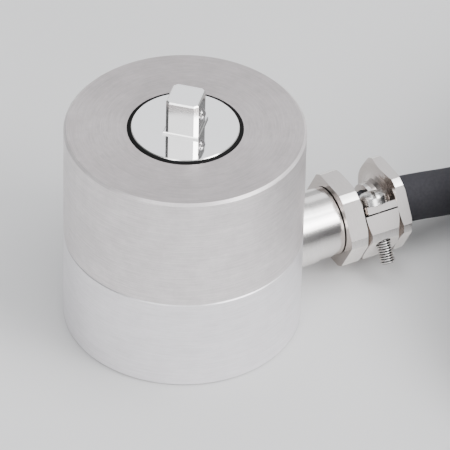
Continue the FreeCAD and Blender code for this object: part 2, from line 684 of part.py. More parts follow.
def make_clamp_nut():
    """Gland nut whose sawn block is a jaw that one screw draws on the cable."""
    body = new_body("clamp_nut")
    flat = d.nut_flats / 2
    far = d.nut_flats
    length = d.nut_block_length + d.nut_flange_length
    prism = hexagon(sketch_in(body, "XY_Plane", "hexagon", nut_start), d.nut_flats)
    pad(body, "hexagon_block", prism, length)
    blunt_corners(body, nut_start, nut_end)
    shank = circle(sketch_in(body, "XY_Plane", "shank_place", shank_start), 0, 0,
                   d.chamber_diameter / 2 - d.thread_clearance * 2)
    pad(body, "threaded_shank", shank, nut_start - shank_start)
    flange_face = groove_station
    open_half = rectangle(sketch_in(body, "XZ_Plane", "head_space_side"),
                          ledge_level, far, nut_start, flange_face)
    pocket(body, "head_space", open_half, far * 2, both_sides=True)
    bore = pinched_radius + d.bore_clearance
    sleeve = bore + d.sleeve_wall
    foot = flange_face - d.sleeve_round
    turned(body, "Revolution", "sleeve", [
        (bore, flange_face - d.sleeve_length),
        (sleeve, flange_face - d.sleeve_length),
        (sleeve, foot),
        (sleeve + d.sleeve_round * 0.076, foot + d.sleeve_round * 0.383),
        (sleeve + d.sleeve_round * 0.293, foot + d.sleeve_round * 0.707),
        (sleeve + d.sleeve_round * 0.617, foot + d.sleeve_round * 0.924),
        (sleeve + d.sleeve_round, flange_face),
        (bore, flange_face),
    ])
    corner_groove(body, "inner_chamfer", flat, nut_start, after=d.nut_chamfer)
    corner_groove(body, "parting_groove", flat, groove_station, before=d.jaw_flank,
                  after=d.flange_flank)
    corner_groove(body, "outer_chamfer", flat + d.outer_inset, nut_end,
                  before=d.nut_chamfer)
    mouth = jacket_radius + d.mouth_clearance
    turned(body, "Groove", "cable_bore", [
        (0, shank_start - 1),
        (bore, shank_start - 1),
        (bore, mouth_start),
        (mouth, mouth_start),
        (mouth, nut_end + 1),
        (0, nut_end + 1),
    ])
    slot_low = d.slot_offset - d.slot_width / 2
    slot_high = d.slot_offset + d.slot_width / 2
    saw = rectangle(sketch_in(body, "XZ_Plane", "saw_side"), slot_low, far, nut_start,
                    nut_start + d.saw_width)
    pocket(body, "cross_saw_cut", saw, far * 2, both_sides=True)
    slit = rectangle(sketch_in(body, "XZ_Plane", "slot_side"), slot_low, slot_high,
                     nut_start, flange_face)
    pocket(body, "jaw_slot", slit, far)
    seat = circle(sketch_in(body, "YZ_Plane", "head_seat", ledge_level), d.clamp_offset,
                  clamp_along, d.clamp_head / 2 + d.head_clearance)
    pocket(body, "head_clearance", seat, far, reversed_side=True)
    lug = circle(sketch_in(body, "YZ_Plane", "lug_hole_place", ledge_level),
                 d.clamp_offset, clamp_along, d.clamp_thread / 2 + d.screw_clearance)
    pocket(body, "lug_hole", lug, d.jaw_thickness)
    core = circle(sketch_in(body, "YZ_Plane", "thread_place", slot_low),
                  d.clamp_offset, clamp_along, d.clamp_thread / 2 + d.centre_fit)
    pocket(body, "lug_thread", core, far)
    body.Placement = gland_frame
    return body


def thread_profile(radius, length, pitch, count):
    """Points of a shank's outline from its tip up, with rings for its threads."""
    depth = pitch * 0.54
    points = [(0, -length), (radius - depth, -length)]
    for k in range(count):
        crest = -length + pitch * (k + 0.5)
        points += [(radius, crest), (radius - depth, crest + pitch / 2)]
    points += [(radius, -length + pitch * (count + 0.5)), (radius, 0)]
    return points


def screw_shape(thread, length, head, height, socket=None, slot=None, rounding=0.3,
                threads=None):
    """A screw with its head's seat at the origin and its shank along -Z."""
    shank = thread.value / 2
    outer = head.value / 2
    tall = plain(height)
    profile = [(0, -length.value), (shank - 0.2, -length.value),
               (shank, 0.2 - length.value), (shank, 0)]
    if threads is not None:
        profile = thread_profile(shank, length.value, *threads)
    shape = lathe(profile + [(outer, 0), (outer, tall), (0, tall)])
    rim = [edge for edge in shape.Edges
           if len(edge.Vertexes) == 1 and abs(edge.Vertexes[0].Z - tall) < 1e-6
           and edge.Length > outer]
    shape = shape.makeFillet(plain(rounding), rim)
    if socket is not None:
        corner = socket.value / ROOT_3
        ring = [polar(corner, 60 * k, tall / 2) for k in range(7)]
        shape = shape.cut(Part.Face(Part.makePolygon(ring)).extrude(V(0, 0, tall)))
    if slot is not None:
        wide, deep, turn = (plain(size) for size in slot)
        cutter = Part.makeBox(head.value * 2, wide, deep * 2,
                              V(-head.value, -wide / 2, tall - deep))
        cutter.rotate(V(0, 0, 0), Z_AXIS, turn)
        shape = shape.cut(cutter)
    return shape


def around(shape, count, radius, first, height):
    """Copies of a shape on a circle round the body axis."""
    copies = []
    for k in range(int(plain(count))):
        angle = plain(first) + 360.0 * k / plain(count)
        spin = FreeCAD.Rotation(Z_AXIS, angle)
        copy = shape.copy()
        copy.Placement = FreeCAD.Placement(polar(plain(radius), angle, plain(height)), spin)
        copies.append(copy)
    return Part.makeCompound(copies)


def box(length, width, height, x=0.0, z=0.0):
    """A box centred on y, its middle at x, standing on z."""
    return Part.makeBox(length, width, height, V(x - length / 2, -width / 2, z))


def make_detent():
    ball = doc.addObject("Part::Sphere", "detent_ball")
    ball.Label = "detent_ball"
    ball.setExpression("Radius", (d.ball_diameter / 2).text)
    ball.Placement.Base = polar(ball_centre.value, d.drive_turn.value, ball_level.value)
    wire = d.spring_wire.value / 2
    mean = d.spring_diameter.value / 2
    reach = math.sqrt((d.ball_diameter.value / 2 + wire) ** 2 - mean ** 2)
    height = ball_centre.value - reach - wire - ball_bore_end.value
    coil = Part.makeHelix(height / d.spring_turns.value, height, mean)
    section = Part.Wire([Part.Circle(V(mean, 0, 0), V(0, 1, 0), wire).toShape()])
    spring = Part.Wire(coil.Edges).makePipeShell([section], True, True)
    aim = polar(1, d.drive_turn.value)
    place = FreeCAD.Placement(aim * (ball_bore_end.value + wire) + V(0, 0, ball_level.value),
                              FreeCAD.Rotation(Z_AXIS, aim))
    return [ball, shown("detent_spring", spring, place)]


def torus(label, radius, section, centre, axis=Z_AXIS):
    ring = doc.addObject("Part::Torus", label)
    ring.Label = label
    ring.setExpression("Radius1", radius.text)
    ring.setExpression("Radius2", section.text)
    ring.Placement = FreeCAD.Placement(centre, FreeCAD.Rotation(Z_AXIS, axis))
    return ring


def make_seals():
    lip_top = roof_under + d.seal_lip
    hub = ring_piece("hub_seal", disc_radius, opening_radius, lip_top,
                     body_height - d.seal_recess)
    section = (d.cover_ring_section + d.cover_fit) / 2
    middle = d.base_height + d.spigot_height / 2
    cover = torus("cover_ring", cover_inside - section, section,
                  V(0, 0, middle.value))
    small = d.neck_ring_section / 2
    neck = torus("neck_ring", d.socket_diameter / 2 - small, small,
                 V(neck_ring_station.value, 0, d.gland_height.value), V(1, 0, 0))
    return [hub, cover, neck]


neck_ring_station = seat_distance - d.socket_depth / 2


def make_shaft_fixings():
    screw = screw_shape(d.shaft_screw, d.shaft_screw_length, d.shaft_screw_head,
                        d.shaft_screw, socket=d.shaft_screw_key)
    screws = around(screw, d.shaft_screw_count, d.shaft_screw_circle / 2, 90, flange_top)
    pin = cylinder(d.pin_diameter / 2, d.pin_length)
    low = flange_top - d.pin_length
    pins = around(pin, 2, d.shaft_screw_circle / 2, 0, low)
    return [shown("shaft_screws", screws), shown("locating_pins", pins)]


def make_gauges():
    """Four gauge patches on the torsion flats and their leads to the board."""
    flat = d.torsion_side.value / 2
    thick = d.gauge_thickness.value
    tall = d.gauge_height.value
    middle = ((flats_low + flats_high) / 2).value
    patch = box(thick, d.gauge_width.value, tall)
    patches = around(patch, 4, flat + thick / 2, d.drive_turn, middle - tall / 2)
    wire = d.wire_diameter.value / 2
    side = d.wire_spacing.value / 2
    run = flat + thick + wire
    out = run + 3.6
    turn = middle - tall / 2 - 0.5
    bend = min(0.8, 0.45 * (turn - board_top.value))
    leads = []
    for y in (-side, side):
        points = [V(run, y, middle - tall / 4), V(run, y, turn), V(out, y, turn),
                  V(out, y, board_top.value)]
        leads.append(bent_tube(points, wire, bend)[0])
    pair = Part.makeCompound(leads)
    return [shown("strain_gauges", patches),
            shown("gauge_leads", around(pair, 4, 0, d.drive_turn, 0))]


def make_board():
    body = new_body("circuit_board")
    face = sketch_in(body, "XY_Plane", "board_outline", d.board_level)
    circle(face, 0, 0, board_radius)
    circle(face, 0, 0, d.board_bore / 2)
    pad(body, "board_plate", face, d.board_thickness)
    place = sketch_in(body, "XY_Plane", "board_hole_place", board_top)
    circle(place, -post_radius, 0, d.board_screw / 2 + d.screw_clearance / 4)
    hole = pocket(body, "board_hole", place, d.board_thickness)
    round_pattern(body, hole, "board_holes", d.post_count)
    screw = screw_shape(d.board_screw, d.board_screw_length, d.board_screw_head,
                        d.board_screw_height, slot=(d.board_screw_slot, d.board_screw_height / 2, 0))
    screws = around(screw, d.post_count, post_radius, 180, board_top)
    part = box(d.resistor_width.value, d.resistor_length.value, d.resistor_height.value)
    parts = around(part, d.resistor_count, (d.board_bore / 2 + board_radius) / 2,
                   d.resistor_turn, board_top)
    return [body, shown("board_screws", screws), shown("board_parts", parts)]


def make_neck():
    """Neck between base and gland, with its spigot, sealing groove and thread."""
    spigot = d.socket_diameter / 2 - d.centre_fit
    groove = spigot - d.neck_ring_section
    low = neck_ring_station - d.neck_ring_width / 2
    high = neck_ring_station + d.neck_ring_width / 2
    thread_start = neck_end - d.neck_thread_depth
    chamber_start = thread_start - d.neck_chamber_length
    return turned_piece("gland_neck", [
        (d.neck_bore / 2, seat_distance - d.socket_depth),
        (spigot, seat_distance - d.socket_depth),
        (spigot, low),
        (groove, low),
        (groove, high),
        (spigot, high),
        (spigot, seat_distance),
        (d.neck_collar / 2, seat_distance),
        (d.neck_collar / 2, seat_distance + d.neck_collar_length),
        (d.neck_diameter / 2, seat_distance + d.neck_collar_length),
        (d.neck_diameter / 2, neck_end),
        (d.neck_thread / 2, neck_end),
        (d.neck_thread / 2, thread_start),
        (d.neck_chamber / 2, thread_start),
        (d.neck_chamber / 2, chamber_start),
        (d.neck_bore / 2, chamber_start),
    ], gland=True)


def make_gland():
    chamber = d.chamber_diameter / 2
    pieces = [make_neck()]
    pieces.append(ring_piece("gland_gasket", d.neck_thread / 2, d.gasket_diameter / 2,
                             neck_end, hex_start, gland=True))
    pieces.append(make_gland_body())
    pieces.append(ring_piece("cable_seal", pinched_radius, chamber, seal_start,
                             thrust_start, gland=True))
    pieces.append(ring_piece("thrust_ring", pinched_radius + d.bore_clearance,
                             chamber - d.thread_clearance, thrust_start, shank_start,
                             gland=True))
    pieces.append(make_clamp_nut())
    screw = screw_shape(d.clamp_thread, d.clamp_reach, d.clamp_head, d.clamp_head_height,
                        slot=(d.clamp_slot, d.clamp_slot_depth, d.clamp_slot_turn),
                        rounding=d.clamp_head_round,
                        threads=(d.clamp_pitch.value, int(d.clamp_grooves.value)))
    seat = FreeCAD.Placement(V(ledge_level.value, d.clamp_offset.value, clamp_along.value),
                             FreeCAD.Rotation(Z_AXIS, V(1, 0, 0)))
    pieces.append(shown("clamp_screw", screw, gland_frame.multiply(seat)))
    return pieces


def make_cores():
    """The cable's cores from its stripped end through the neck to the board."""
    half = d.core_pitch.value / 2
    cores = []
    for y in (-half, half):
        for up, back in ((half, 0), (-half, d.core_pitch.value)):
            z = d.gland_height.value + up
            rise = cavity_radius.value - half * 2 - back
            points = [V(jacket_start.value, y, z), V(rise, y, z),
                      V(rise, y, d.board_level.value)]
            cores.append(bent_tube(points, d.core_diameter.value / 2, 2.6)[0])
    return shown("cable_cores", Part.makeCompound(cores))


# Cable route outside the gland: it sags from the nut's mouth to the floor and
# runs into a coil that lies on its own ties.
turn_step = d.coil_pitch.value / 2
inner_turn = d.coil_radius.value - turn_step
outer_turn = d.coil_radius.value + turn_step
coil_low = d.tie_thickness.value
lying = coil_low + jacket_radius.value
coil_centre = V(d.coil_distance.value, -inner_turn, 0)
mouth = mouth_start.value
ROUTE = [
    V(mouth + 0.4, 0, d.gland_height.value - 0.05),
    V(mouth + 7.2, 0, d.gland_height.value - 0.55),
    V(mouth + 21.4, 0, d.gland_height.value - 3.4),
    V(mouth + 45, 0, lying + 0.2),
    V(coil_centre.x, 0, lying),
]
tail_line = coil_centre.y - outer_turn
tail_end = coil_centre.x - d.tail_length.value
boot_radius = jacket_radius.value + d.boot_wall.value
TAIL = [V(coil_centre.x, tail_line, lying), V(tail_end, tail_line, lying)]


def make_cable():
    radius = jacket_radius.value
    held = turned_piece("gland_cable", [
        (0, jacket_start), (pinched_radius, jacket_start),
        (pinched_radius, mouth_start + 0.7), (0, mouth_start + 0.7),
    ], gland=True)
    half_wide = turn_step + radius
    tall = (d.coil_layers * d.jacket_diameter).value
    mean = d.coil_radius.value
    ring = lathe([(mean - half_wide, 0), (mean + half_wide, 0), (mean + half_wide, tall),
                  (mean - half_wide, tall)])
    ring = ring.makeFillet(radius * 0.98, [e for e in ring.Edges if len(e.Vertexes) == 1])
    ring.translate(coil_centre + V(0, 0, coil_low))
    tube, bends = bent_tube(ROUTE, radius)
    tail, tail_bends = bent_tube(TAIL, radius)
    print("cable bends", [round(r, 1) for r in bends + tail_bends])
    coil = shown("cable_coil", ring)
    signal = shown("signal_cable", tube.cut(ring))
    end = shown("cable_tail", tail.cut(ring))
    thick = d.tie_thickness.value
    wide = d.tie_width.value
    loop = Part.makeBox(half_wide * 2 + thick * 2, wide, tall + thick * 2,
                        V(mean - half_wide - thick, -wide / 2, 0))
    rounded = [e for e in loop.Edges if abs(e.tangentAt(e.FirstParameter).y) > 0.9]
    loop = loop.makeFillet(radius, rounded)
    ties = []
    for k in range(int(d.tie_count.value)):
        tie = loop.copy()
        tie.rotate(V(0, 0, 0), Z_AXIS, 30 + 360.0 * k / d.tie_count.value)
        tie.translate(V(coil_centre.x, coil_centre.y, 0))
        ties.append(tie.cut(ring))
    return [held, coil, signal, end, shown("coil_ties", Part.makeCompound(ties))]


def make_cable_end():
    """Shrink sleeve, free cores and ferrules at the end of the tail."""
    radius = jacket_radius.value
    core = d.core_diameter.value / 2
    half = d.core_pitch.value / 2
    throat = half * math.sqrt(2) + core + 0.1
    long = d.boot_length.value
    over = 0.4 * long
    neck = d.boot_neck.value / 2
    boot = lathe([(radius, -over), (boot_radius, -over), (boot_radius, 0),
                  (neck, over * 0.8), (neck, long - over), (throat, long - over),
                  (throat, 0), (radius, 0)],
                 V(tail_end, tail_line, lying), V(-1, 0, 0))
    pieces = [shown("end_boot", boot)]
    rest = core + d.ferrule_wall.value
    last = tail_end - d.lead_length.value
    first = tail_end - long + over
    spots = ((-half, half), (half, half), (-half, -half), (half, -half))
    names = ("lead_red", "lead_white", "lead_black", "lead_green")
    crimps = []
    for k, (name, (y, z)) in enumerate(zip(names, spots)):
        aside = tail_line + (y / half) * d.lead_spread.value * (1.5 if z > 0 else 0.5)
        points = [V(tail_end, tail_line + y, lying + z),
                  V(first - 5, tail_line + y, lying + z),
                  V(last + 8, aside, rest),
                  V(last, aside, rest)]
        pieces.append(shown(name, bent_tube(points, core)[0]))
        sleeve = d.ferrule_length.value
        outer = cylinder(rest, sleeve, V(last + sleeve / 2, aside, rest), V(-1, 0, 0))
        crimps.append(outer.cut(cylinder(core, sleeve / 2,
                                         V(last + sleeve / 2, aside, rest), V(-1, 0, 0))))
    pieces.append(shown("lead_ferrules", Part.makeCompound(crimps)))
    return pieces


pieces = [make_base_flange(), make_housing_cover(), make_torsion_shaft()]
pieces += make_detent()
pieces += make_seals()
pieces += make_shaft_fixings()
pieces += make_gauges()
pieces += make_board()
pieces += make_gland()
pieces.append(make_cores())
pieces += make_cable()
pieces += make_cable_end()
doc.recompute()

for item in doc.Objects:
    if "Invalid" in item.State or "Error" in item.State:
        raise RuntimeError("not solved: " + item.Name)

os.makedirs("parts", exist_ok=True)
for piece in pieces:
    shape = piece.Shape
    if shape.isNull() or not shape.isValid() or not shape.Solids:
        raise RuntimeError("bad shape: " + piece.Label)
    shape.exportStep("parts/%s.step" % piece.Label)
    print("%-16s solids %d volume %.1f" % (piece.Label, len(shape.Solids), shape.Volume))
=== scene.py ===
# Square drive torque sensor: camera, cable, materials and the fine pieces that
# the solids leave out. Everything is in metres, in the frame of the solids:
# body axis along +Z from the mounting face, gland along +X.

import math

import bmesh
import bpy
from mathutils import Matrix, Vector


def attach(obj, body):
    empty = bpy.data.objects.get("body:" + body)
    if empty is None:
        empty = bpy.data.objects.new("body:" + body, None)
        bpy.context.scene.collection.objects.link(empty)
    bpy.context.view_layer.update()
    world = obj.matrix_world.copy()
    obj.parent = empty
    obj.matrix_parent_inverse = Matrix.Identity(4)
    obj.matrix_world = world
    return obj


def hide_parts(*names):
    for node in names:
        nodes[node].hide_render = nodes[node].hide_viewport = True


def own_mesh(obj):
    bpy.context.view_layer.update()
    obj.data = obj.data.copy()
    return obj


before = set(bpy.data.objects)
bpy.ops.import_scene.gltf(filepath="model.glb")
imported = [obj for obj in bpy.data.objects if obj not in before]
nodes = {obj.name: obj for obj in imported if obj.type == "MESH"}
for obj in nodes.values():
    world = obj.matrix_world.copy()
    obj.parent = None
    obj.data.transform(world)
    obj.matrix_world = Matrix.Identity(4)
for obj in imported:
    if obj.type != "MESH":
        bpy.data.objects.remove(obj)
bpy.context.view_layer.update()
MM = 0.001

# Camera

# Pinhole camera of the photograph. The view is described in a frame turned by
# VIEW_TURN about the body axis, so that the gland points right and away.
VIEW_TURN = math.radians(28.7)
VIEW_DOWN = math.radians(39.5)
VIEW_ROLL = math.radians(1.45)
FOCAL_PX = 5283.0
PICTURE_PX = 450
DISTANCE = 1010.6 * MM
LOOK_AT = Vector((0, 0, 21.95 * MM))
LOOK_AT_PX = (183.1, 219.8)
SENSOR_WIDTH = 36
CLIP_NEAR = 0.01
CLIP_FAR = 50
# Turns a direction or place of the camera's frame into the frame of the solids.
FROM_VIEW = Matrix.Rotation(-VIEW_TURN, 3, "Z")


def make_camera():
    middle = (PICTURE_PX - 1) / 2
    roll_c, roll_s = math.cos(VIEW_ROLL), math.sin(VIEW_ROLL)
    tilt_c, tilt_s = math.cos(VIEW_DOWN), math.sin(VIEW_DOWN)
    right = Vector((roll_c, roll_s * tilt_s, roll_s * tilt_c))
    up = Vector((-roll_s, roll_c * tilt_s, roll_c * tilt_c))
    back = Vector((0, -tilt_c, tilt_s))
    shift_x = (LOOK_AT_PX[0] - middle) * DISTANCE / FOCAL_PX
    shift_y = -(LOOK_AT_PX[1] - middle) * DISTANCE / FOCAL_PX
    centre = LOOK_AT - (right * shift_x + up * shift_y - back * DISTANCE)
    data = bpy.data.cameras.new("camera")
    data.sensor_width = SENSOR_WIDTH
    data.lens = FOCAL_PX / PICTURE_PX * SENSOR_WIDTH
    data.clip_start = CLIP_NEAR
    data.clip_end = CLIP_FAR
    camera = bpy.data.objects.new("camera", data)
    bpy.context.collection.objects.link(camera)
    axes = Matrix((FROM_VIEW @ right, FROM_VIEW @ up, FROM_VIEW @ back)).transposed()
    camera.matrix_world = Matrix.Translation(FROM_VIEW @ centre) @ axes.to_4x4()
    bpy.context.scene.camera = camera


# Helpers for pieces


def link(name, data):
    """A new piece that rides on the sensor's body."""
    piece = bpy.data.objects.new(name, data)
    bpy.context.collection.objects.link(piece)
    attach(piece, "sensor")
    return piece


def mesh_piece(name, bm, material, smooth=True):
    data = bpy.data.meshes.new(name)
    bm.normal_update()
    bm.to_mesh(data)
    bm.free()
    for polygon in data.polygons:
        polygon.use_smooth = smooth
    data.materials.append(material)
    return link(name, data)


def dress(name, material):
    """A solid's own mesh with a better material."""
    materials = nodes[name].data.materials
    materials.clear()
    materials.append(material)


# Cable

# Lengths in millimetres. The coil lies on its ties. Its turns are PITCH apart in a
# layer, its layers are LAYER apart, and its middle is at COIL_X and COIL_Y.
JACKET = 9.3
GLAND_HEIGHT = 10.2
MOUTH = 42.15
TIE = 0.9
LYING = TIE + JACKET / 2
PITCH = 9.4
LAYER = JACKET
COIL_RADIUS = 56.4
INNER_TURN = COIL_RADIUS - PITCH / 2
OUTER_TURN = COIL_RADIUS + PITCH / 2
COIL_X = 110.0
COIL_Y = -INNER_TURN
ROUTE = (
    (MOUTH + 0.4, 0, GLAND_HEIGHT - 0.05),
    (MOUTH + 7.2, 0, GLAND_HEIGHT - 0.55),
    (MOUTH + 21.4, 0, GLAND_HEIGHT - 3.4),
    (MOUTH + 45, 0, LYING + 0.2),
)
TAIL = (
    (COIL_X - 26, COIL_Y - OUTER_TURN, LYING),
    (COIL_X - 50, COIL_Y - OUTER_TURN, LYING),
)
# Each full turn of the coil: the radius and layer that it starts with, and those
# that it eases into. Half a turn in the lowest layer follows the last one.
TURNS = (
    (INNER_TURN, 0, INNER_TURN, 1),
    (INNER_TURN, 1, INNER_TURN, 2),
    (INNER_TURN, 2, OUTER_TURN, 2),
    (OUTER_TURN, 2, OUTER_TURN, 1),
    (OUTER_TURN, 1, OUTER_TURN, 0),
)
POINTS_PER_TURN = 16
# Share of a turn after which it starts to ease into the next.
EASE_FROM = 0.75
SPLINE_STEPS = 6
ROUND_STEPS = 8


def coil_points():
    """Clockwise turns from the top of the ring, each easing into the next."""
    spots = []
    for radius, layer, next_radius, next_layer in TURNS:
        for k in range(POINTS_PER_TURN):
            share = k / POINTS_PER_TURN
            ease = max(0.0, (share - EASE_FROM) / (1 - EASE_FROM))
            ease = ease * ease * (3 - 2 * ease)
            r = radius + (next_radius - radius) * ease
            z = LYING + LAYER * (layer + (next_layer - layer) * ease)
            spots.append((r, math.pi / 2 - 2 * math.pi * share, z))
    for k in range(POINTS_PER_TURN // 2 + 1):
        spots.append((OUTER_TURN, math.pi / 2 - 2 * math.pi * k / POINTS_PER_TURN, LYING))
    # The curve runs inside its control points, which lie further out to make up for it.
    swell = (1 + 1 / math.cos(math.pi / POINTS_PER_TURN)) / 2
    return [(COIL_X + r * math.cos(a) * swell, COIL_Y + r * math.sin(a) * swell, z)
            for r, a, z in spots]


def make_cable(material):
    """One cord in place of the three plain cable solids."""
    data = bpy.data.curves.new("signal_cable_line", "CURVE")
    data.dimensions = "3D"
    spline = data.splines.new("NURBS")
    points = [*ROUTE, *coil_points(), *TAIL]
    spline.points.add(len(points) - 1)
    for spot, point in zip(spline.points, points):
        spot.co = (point[0] * MM, point[1] * MM, point[2] * MM, 1)
        spot.radius = JACKET / 2 * MM
    spline.order_u = 3
    spline.use_endpoint_u = True
    spline.resolution_u = SPLINE_STEPS
    # A bevel of 1 leaves the thickness to the points' own radius.
    data.bevel_depth = 1.0
    data.bevel_resolution = ROUND_STEPS
    data.use_fill_caps = True
    cable = link("signal_cable_line", data)
    data.materials.append(material)
    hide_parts("signal_cable", "cable_coil", "cable_tail")


# Helpers for shader nodes

# Ranges that the values of a noise texture are stretched from.
LINES_RANGE = (0.3, 0.7)
SPECKLE_RANGE = (0.35, 0.65)
STAIN_RANGE = (0.35, 0.7)
# Steepness at which a face counts partly and fully, as square to the axis and as
# sloping; the sloping faces of the nuts get a painted dark reflection. Then the height
# of the normal up to which a flat looks down and gets a painted reflection of the floor.
SQUARE_RANGE = (0.80, 0.95)
SLOPING_RANGE = (0.06, 0.12)
UNDER_RANGE = (-0.2, -0.05)


def new_material(name):
    material = bpy.data.materials.new(name)
    material.use_nodes = True
    tree = material.node_tree
    return material, tree, tree.nodes["Principled BSDF"]


def node(tree, kind, **settings):
    made = tree.nodes.new(kind)
    for key, value in settings.items():
        setattr(made, key, value)
    return made


def ramp(tree, source, low, high, start, end):
    """A value between low and high, mapped to start and end."""
    mapped = node(tree, "ShaderNodeMapRange")
    tree.links.new(source, mapped.inputs["Value"])
    mapped.inputs["From Min"].default_value = low
    mapped.inputs["From Max"].default_value = high
    mapped.inputs["To Min"].default_value = start
    mapped.inputs["To Max"].default_value = end
    return mapped.outputs["Result"]


def combine(tree, operation, first, second):
    made = node(tree, "ShaderNodeMath", operation=operation)
    tree.links.new(first, made.inputs[0])
    tree.links.new(second, made.inputs[1])
    return made.outputs[0]


def mixed(tree, amount, first, second, blend_type="MIX"):
    """From the first colour to the second by an amount. Each is a colour or a socket."""
    mix = node(tree, "ShaderNodeMix", data_type="RGBA", blend_type=blend_type)
    tree.links.new(amount, mix.inputs["Factor"])
    for socket, colour in (("A", first), ("B", second)):
        if isinstance(colour, tuple):
            mix.inputs[socket].default_value = (*colour, 1)
        else:
            tree.links.new(colour, mix.inputs[socket])
    return mix.outputs["Result"]


def shaded(tree, colour, amount, tone):
    """A colour multiplied by a tone, by an amount from 0 to 1."""
    return mixed(tree, amount, colour, tone, "MULTIPLY")


def noise_texture(tree, vector, scale, detail, rough=0.5):
    noise = node(tree, "ShaderNodeTexNoise")
    noise.inputs["Scale"].default_value = scale
    noise.inputs["Detail"].default_value = detail
    noise.inputs["Roughness"].default_value = rough
    tree.links.new(vector, noise.inputs["Vector"])
    return noise.outputs["Fac"]


def object_coordinates(tree):
    return node(tree, "ShaderNodeTexCoord").outputs["Object"]


def object_normal(tree, axis):
    """The share of a face's normal that lies along an axis, from -1 to 1."""
    normal = node(tree, "ShaderNodeSeparateXYZ")
    tree.links.new(node(tree, "ShaderNodeTexCoord").outputs["Normal"], normal.inputs[0])
    return normal.outputs[axis]


def steepness(tree, axis):
    """How squarely a face looks along an axis: 0 beside it, 1 square to it."""
    size = node(tree, "ShaderNodeMath", operation="ABSOLUTE")
    tree.links.new(object_normal(tree, axis), size.inputs[0])
    return size.outputs[0]


def offset_from(tree, centre):
    offset = node(tree, "ShaderNodeVectorMath", operation="SUBTRACT")
    tree.links.new(object_coordinates(tree), offset.inputs[0])
    offset.inputs[1].default_value = centre
    return offset.outputs[0]


def polar_coordinates(tree, centre, along):
    """Radius from, height along and angle round an axis through centre."""
    parts = node(tree, "ShaderNodeSeparateXYZ")
    tree.links.new(offset_from(tree, centre), parts.inputs[0])
    first, second, height = {"Z": ("X", "Y", "Z"), "X": ("Y", "Z", "X")}[along]
    flat = node(tree, "ShaderNodeCombineXYZ")
    tree.links.new(parts.outputs[first], flat.inputs["X"])
    tree.links.new(parts.outputs[second], flat.inputs["Y"])
    radius = node(tree, "ShaderNodeVectorMath", operation="LENGTH")
    tree.links.new(flat.outputs[0], radius.inputs[0])
    angle = combine(tree, "ARCTAN2", parts.outputs[second], parts.outputs[first])
    return radius.outputs["Value"], parts.outputs[height], angle


def turning_lines(tree, radius, height, angle, scale):
    """Noise stretched along the direction of turning into fine lines."""
    scale_round = 4.0
    packed = node(tree, "ShaderNodeCombineXYZ")
    for source, factor, socket in ((radius, scale, "X"), (height, scale, "Y"),
                                   (angle, scale_round, "Z")):
        scaled = node(tree, "ShaderNodeMath", operation="MULTIPLY")
        tree.links.new(source, scaled.inputs[0])
        scaled.inputs[1].default_value = factor
        tree.links.new(scaled.outputs[0], packed.inputs[socket])
    return noise_texture(tree, packed.outputs[0], scale=1.0, detail=3.0, rough=0.65)


def bump(tree, shader, value, depth):
    made = node(tree, "ShaderNodeBump")
    made.inputs["Strength"].default_value = 1.0
    made.inputs["Distance"].default_value = depth
    tree.links.new(value, made.inputs["Height"])
    tree.links.new(made.outputs["Normal"], shader.inputs["Normal"])


# Kinds of surface

# The gland's axis and, from it, the radii between which its nuts are milled.
GLAND_AXIS = (0, 0, GLAND_HEIGHT * MM)
MILLED_FROM = 8.3 * MM
MILLED_TO = 9.325 * MM
# The clamp screw: place along the gland, offset from its axis and lean. Then its
# thread's root and crest, and, along it, its head's underside and the start of the
# nut's slot, which its shank crosses.
CLAMP_ALONG = 39.6 * MM
CLAMP_OFFSET = 6.1 * MM
CLAMP_TILT = math.radians(58.1)
THREAD_ROOT = 1.25 * MM
THREAD_CREST = 1.44 * MM
HEAD_UNDERSIDE = 1.4 * MM
SLOT_START = -0.5 * MM
# Scales of the noise in turned nuts, in milled flats and of the stains in bare metal.
NUT_LINES = 7000
MILLED_GRAIN = 2600
STAIN_SCALE = 240
# Tones that the colours are multiplied by, and how much of it the streaks take.
STAIN_TONE = (0.80, 0.79, 0.79)
STREAK_TONE = (0.80, 0.79, 0.78)
THREAD_SHADE = (0.08, 0.08, 0.08)
STREAKS = 0.6
# Milled nickel mirrors less than turned nickel does, which has less of the grain.
MILLED_METAL = 0.35
MILLED_ROUGH = 0.5
TURNED_GRAIN = 0.2


def turned_metal(name, light, dark, rough, spread, depth, grain, metal=1.0, tangent=0.0,
                 top_tone=None, side_tone=None, side_rough=0.0, mottle=0.0):
    """Bare metal with fine lines left by turning about the body axis.

    top_tone shades the faces square to the axis. side_tone tints all others with a
    painted reflection, and side_rough dulls them. tangent stretches highlights across
    the lines, and mottle is the strength of cloudy stains.
    """
    material, tree, shader = new_material(name)
    radius, height, angle = polar_coordinates(tree, (0, 0, 0), "Z")
    top = ramp(tree, steepness(tree, "Z"), *SQUARE_RANGE, 0, 1)
    lines = turning_lines(tree, radius, height, angle, grain)
    colour = mixed(tree, ramp(tree, lines, *LINES_RANGE, 0, 1), dark, light)
    if mottle:
        stain = noise_texture(tree, object_coordinates(tree), STAIN_SCALE, detail=6, rough=0.75)
        amount = ramp(tree, stain, *STAIN_RANGE, 0, mottle)
        colour = shaded(tree, colour, amount, STAIN_TONE)
    if top_tone:
        colour = shaded(tree, colour, top, top_tone)
    # A painted reflection tint on the faces that are not square to the axis.
    if side_tone:
        colour = shaded(tree, colour, ramp(tree, top, 0, 1, 1, 0), side_tone)
    tree.links.new(colour, shader.inputs["Base Color"])
    level = ramp(tree, lines, *LINES_RANGE, rough - spread, rough + spread)
    if side_rough:
        level = combine(tree, "ADD", level, ramp(tree, top, 0, 1, side_rough, 0))
    tree.links.new(level, shader.inputs["Roughness"])
    shader.inputs["Metallic"].default_value = metal
    if tangent:
        round_axis = node(tree, "ShaderNodeTangent", direction_type="RADIAL", axis="Z")
        tree.links.new(round_axis.outputs["Tangent"], shader.inputs["Tangent"])
        shader.inputs["Anisotropic"].default_value = tangent
    bump(tree, shader, lines, depth)
    return material


